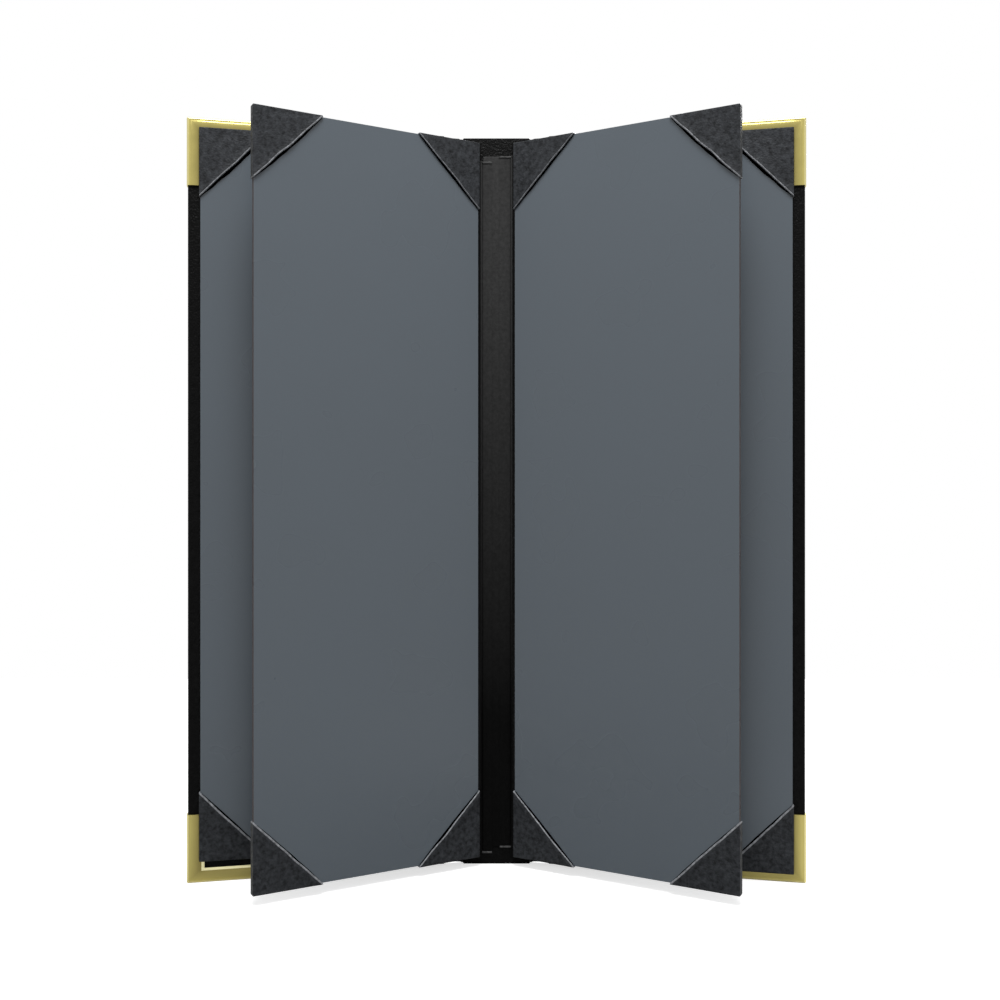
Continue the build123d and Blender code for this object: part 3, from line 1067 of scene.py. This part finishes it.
class MENUCOVER_OT_metal_corners(bpy.types.Operator):
    """Adds the stamped and plated metal corners"""

    bl_idname = "menucover.metal_corners"
    bl_label = "Metal corners"

    def execute(self, context):
        sizes, colours = chosen(context)
        # Painted shade beside the pad, and painted highlights on the rims and the inner bevel
        satin = brass_plated_steel("brass_plated_steel", colours.metal, colours.metal_painted_shade)
        highlight_plating = brass_plated_steel("brass_plating_highlights", colours.metal_rim_highlight, colours.metal_bevel_highlight)
        for side in SIDES:
            for at_top in (True, False):
                metal_corner(side, at_top, sizes, [satin, highlight_plating])
        return {"FINISHED"}


class MENUCOVER_OT_boards(bpy.types.Operator):
    """Finishes the boards and their grey facings"""

    bl_idname = "menucover.boards"
    bl_label = "Boards and facings"

    def execute(self, context):
        colours = context.scene.menu_cover_colours
        facing = laminated_facing(colours.facing)
        board = pressed_greyboard(colours.board)
        finish_node("spine_board", board, 0.1)
        for side in SIDES:
            for name in ("leaf_front_facing", "leaf_back_facing", "pad_facing"):
                finish_node(f"{side}_{name}", facing, 0.08)
            for name in ("leaf_core", "pad_board", "cover_board"):
                finish_node(f"{side}_{name}", board, 0.1)
        return {"FINISHED"}


def seen_directly(tree):
    """1 where the eye, or a reflection, sees the floor or the room, and 0 where they light the cover."""
    seen = add_node(tree, "LightPath", output="Is Camera Ray")
    for kind in ("Is Glossy Ray", "Is Transmission Ray"):
        ray = add_node(tree, "LightPath", output=kind)
        seen = add_node(tree, "Math", {"operation": "MAXIMUM"}, {0: seen, 1: ray})
    return seen


def pale_paper(seen_hex, bounce_hex, glow):
    """Matt pale paper under the cover, which the eye sees as white but for the cover's shadow."""
    material, tree, shader, _ = new_material("pale_paper")
    shader.inputs["Roughness"].default_value = 1.0
    shader.inputs["Specular IOR Level"].default_value = 0.0
    hues = {"data_type": "RGBA", 6: linear(bounce_hex), 7: linear(seen_hex)}
    join(tree, shader, {"Base Color": add_node(tree, "Mix", hues, {0: seen_directly(tree)}, 2)})
    eye = add_node(tree, "LightPath", output="Is Camera Ray")
    amount = add_node(tree, "Math", {"operation": "MULTIPLY", 1: glow}, {0: eye})
    white = add_node(tree, "Emission", {"Color": (1, 1, 1, 1)}, {"Strength": amount})
    both = add_node(tree, "AddShader", {}, {0: shader.outputs[0], 1: white})
    tree.links.new(both, tree.nodes["Material Output"].inputs["Surface"])
    return material


def studio_world(low, high):
    """A soft room, brighter above than below, that the eye and reflections see as plain white."""
    world = bpy.data.worlds.new("studio")
    world.use_nodes = True
    tree = world.node_tree
    direction = add_node(tree, "TexCoord", output="Generated")
    height = add_node(tree, "SeparateXYZ", {}, {0: direction}, "Z")
    rise = {"From Min": -0.35, "From Max": 0.5, "To Min": low, "To Max": high}
    room = add_node(tree, "MapRange", {"interpolation_type": "SMOOTHSTEP", **rise}, {"Value": height})
    strength = add_node(tree, "Mix", {"data_type": "FLOAT", 3: 1.0}, {0: seen_directly(tree), 2: room})
    background = tree.nodes["Background"]
    background.inputs["Color"].default_value = (1, 1, 1, 1)
    join(tree, background, {"Strength": strength})
    return world


def soft_box(name, place, watts):
    """A soft light at a place, aimed at the cover."""
    lamp = bpy.data.lights.new(name, "AREA")
    lamp.shape = "RECTANGLE"
    lamp.size, lamp.size_y = SOFT_BOX_SIZE
    lamp.energy = watts
    light = bpy.data.objects.new(name, lamp)
    bpy.context.scene.collection.objects.link(light)
    light.location = place
    light.rotation_euler = (Vector(LIT_POINT) - Vector(place)).to_track_quat("-Z", "Y").to_euler()


class MENUCOVER_OT_stage(bpy.types.Operator):
    """Sets the floor, the lights and the camera"""

    bl_idname = "menucover.stage"
    bl_label = "Stage"

    def execute(self, context):
        scene = context.scene
        scene.view_settings.view_transform = "Standard"
        colours = scene.menu_cover_colours
        mesh = bpy.data.meshes.new("floor")
        outline = [(x, y, 0) for x, y in FLOOR_CORNERS]
        mesh.from_pydata(outline, [], [tuple(range(len(outline)))])
        floor = bpy.data.objects.new("floor", mesh)
        scene.collection.objects.link(floor)
        mesh.materials.append(pale_paper(colours.floor, colours.floor_bounce, FLOOR_GLOW))
        scene.world = studio_world(*ROOM_LIGHT)
        for name, place, watts in SOFT_BOXES:
            soft_box(name, place, watts)

        hinge = joint_place("right_leaf_turn")
        lens = bpy.data.cameras.new("camera")
        lens.sensor_width = SENSOR_WIDTH
        lens.lens = SENSOR_WIDTH * FOCAL_PIXELS / FRAME_PIXELS
        lens.shift_x = (FRAME_PIXELS / 2 - MIDDLE_PIXEL) / FRAME_PIXELS
        lens.clip_start = 0.01
        camera = bpy.data.objects.new("camera", lens)
        scene.collection.objects.link(camera)
        camera.location = (0.0, hinge.y - EYE_DISTANCE, EYE_HEIGHT)
        camera.rotation_euler = (math.radians(90), 0, 0)
        scene.camera = camera
        return {"FINISHED"}


OPERATORS = (
    MENUCOVER_OT_case,
    MENUCOVER_OT_hinges,
    MENUCOVER_OT_boards,
    MENUCOVER_OT_pockets,
    MENUCOVER_OT_metal_corners,
    MENUCOVER_OT_stage,
)


class MENUCOVER_PT_panel(bpy.types.Panel):
    """Lists the steps that dress the menu cover"""

    bl_idname = "MENUCOVER_PT_panel"
    bl_label = "Menu cover"
    bl_space_type = "VIEW_3D"
    bl_region_type = "UI"
    bl_category = "Menu cover"

    def draw(self, context):
        for operator in OPERATORS:
            self.layout.operator(operator.bl_idname)
        for group in (context.scene.menu_cover_sizes, context.scene.menu_cover_colours):
            for name in shown_properties(group):
                self.layout.prop(group, name)


CLASSES = (MenuCoverSizes, MenuCoverColours, *OPERATORS, MENUCOVER_PT_panel)


def register():
    for item in CLASSES:
        bpy.utils.register_class(item)
    bpy.types.Scene.menu_cover_sizes = bpy.props.PointerProperty(type=MenuCoverSizes)
    bpy.types.Scene.menu_cover_colours = bpy.props.PointerProperty(type=MenuCoverColours)


def unregister():
    del bpy.types.Scene.menu_cover_colours
    del bpy.types.Scene.menu_cover_sizes
    for item in reversed(CLASSES):
        bpy.utils.unregister_class(item)


def main():
    register()
    bpy.ops.menucover.case()
    bpy.ops.menucover.hinges()
    bpy.ops.menucover.boards()
    bpy.ops.menucover.pockets()
    bpy.ops.menucover.metal_corners()
    bpy.ops.menucover.stage()


if __name__ == "__main__":
    main()
